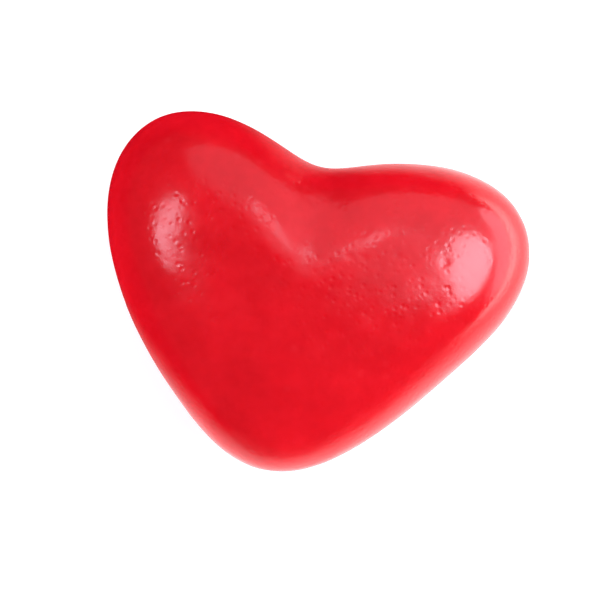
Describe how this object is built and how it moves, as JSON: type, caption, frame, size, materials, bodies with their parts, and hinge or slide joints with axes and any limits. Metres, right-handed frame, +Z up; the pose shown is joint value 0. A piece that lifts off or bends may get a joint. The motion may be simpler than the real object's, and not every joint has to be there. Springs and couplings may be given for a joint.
{
  "type": "jelly bean",
  "caption": "Puffy heart-shaped jelly bean with a glossy red sugar shell, rounded lobes, a shallow notch and a blunt tip, lying on its flatter side.",
  "frame": {"origin": "on the surface the bean lies on, under the middle of its box", "axes": "+X across the lobes, +Y from the tip towards the notch, +Z up"},
  "size_m": [0.0204, 0.0162, 0.0099],
  "materials": {
    "sugar_shell": "thin red sugar shell over jelly, polished with wax to a soft gloss"
  },
  "bodies": {
    "root": {"bean": "sugar_shell"}
  },
  "joints": []
}
